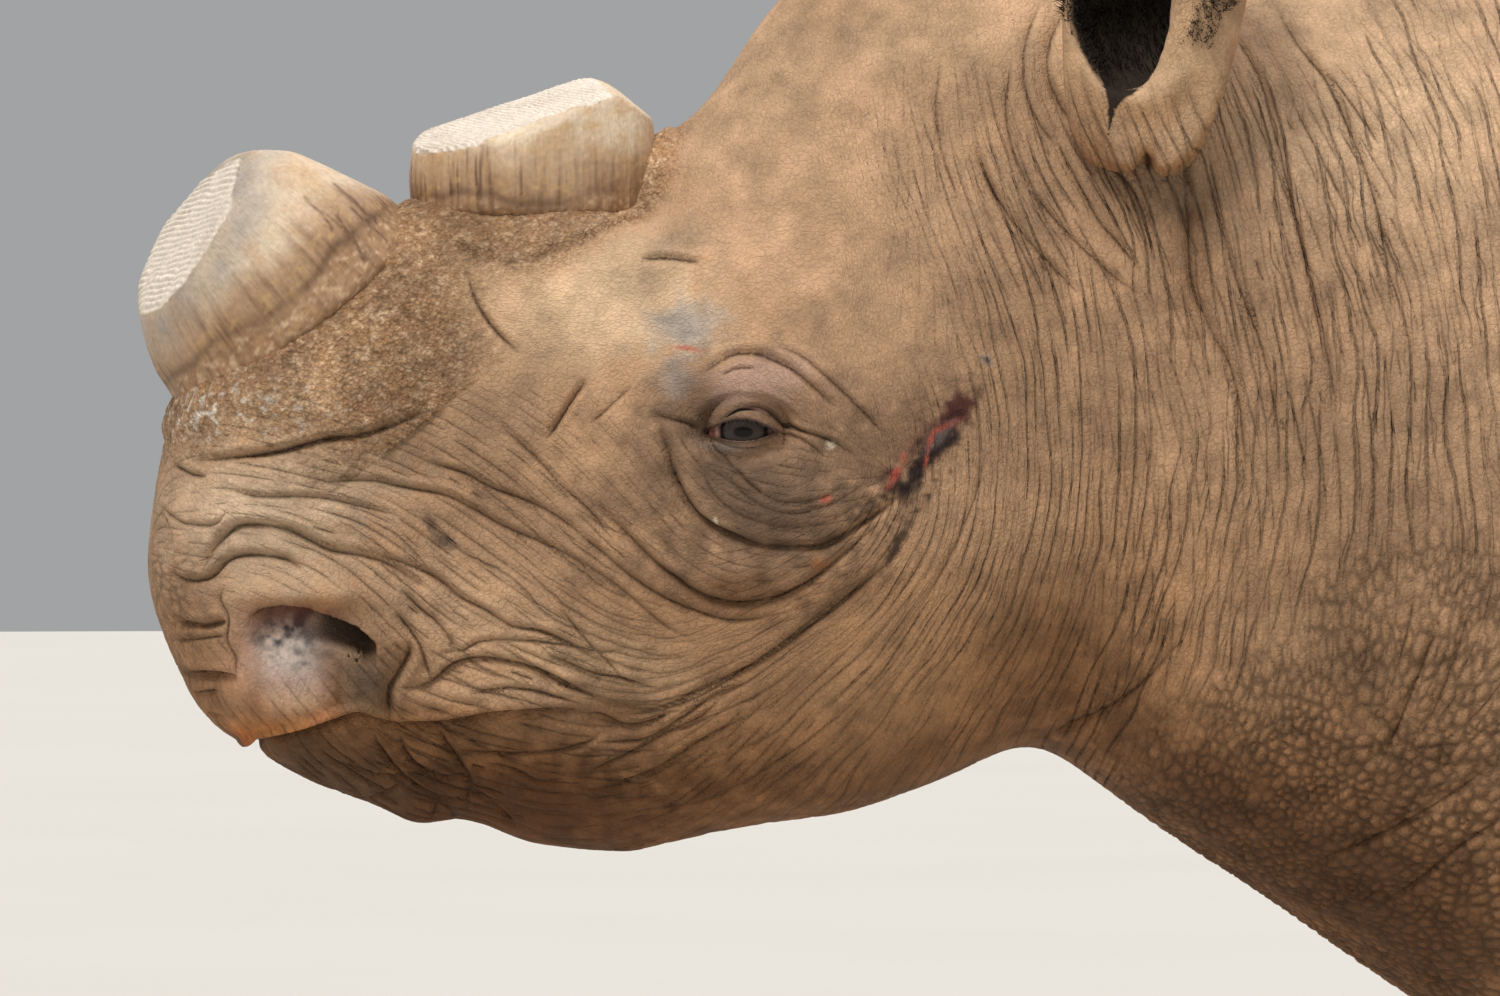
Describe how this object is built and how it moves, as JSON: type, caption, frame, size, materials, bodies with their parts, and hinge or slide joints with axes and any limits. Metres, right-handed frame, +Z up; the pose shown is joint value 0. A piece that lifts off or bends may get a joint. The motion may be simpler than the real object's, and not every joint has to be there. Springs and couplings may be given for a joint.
{
  "type": "black rhinoceros",
  "caption": "Life-size standing black rhinoceros with sawn-off horns, one notched ear and wrinkled grey-brown skin.",
  "frame": {"origin": "on the ground, under the middle of the animal's length and width", "axes": "+Z up; the animal faces -Y and its left side is +X"},
  "size_m": [0.856, 2.8998, 1.6121],
  "materials": {
    "skin": "dry wrinkled hide, dusty grey-brown",
    "horn": "sawn and weathered horn, pale on the cut",
    "nail": "worn hoof horn, dusty",
    "eye": "wet and glossy, dark brown",
    "hair": "coarse black bristles"
  },
  "bodies": {
    "root": {"head": "skin", "lower_jaw": "skin", "neck": "skin", "trunk": "skin", "tail": "skin", "tail_tuft": "hair", "horn_front": "horn", "horn_rear": "horn", "eye_left": "eye", "eye_right": "eye", "ear_left": "skin", "ear_right": "skin", "foreleg_left": "skin", "forefoot_left": "skin", "nail_fore_left_inner": "nail", "nail_fore_left_middle": "nail", "nail_fore_left_outer": "nail", "foreleg_right": "skin", "forefoot_right": "skin", "nail_fore_right_inner": "nail", "nail_fore_right_middle": "nail", "nail_fore_right_outer": "nail", "hindleg_left": "skin", "hindfoot_left": "skin", "nail_hind_left_inner": "nail", "nail_hind_left_middle": "nail", "nail_hind_left_outer": "nail", "hindleg_right": "skin", "hindfoot_right": "skin", "nail_hind_right_inner": "nail", "nail_hind_right_middle": "nail", "nail_hind_right_outer": "nail"}
  },
  "joints": []
}
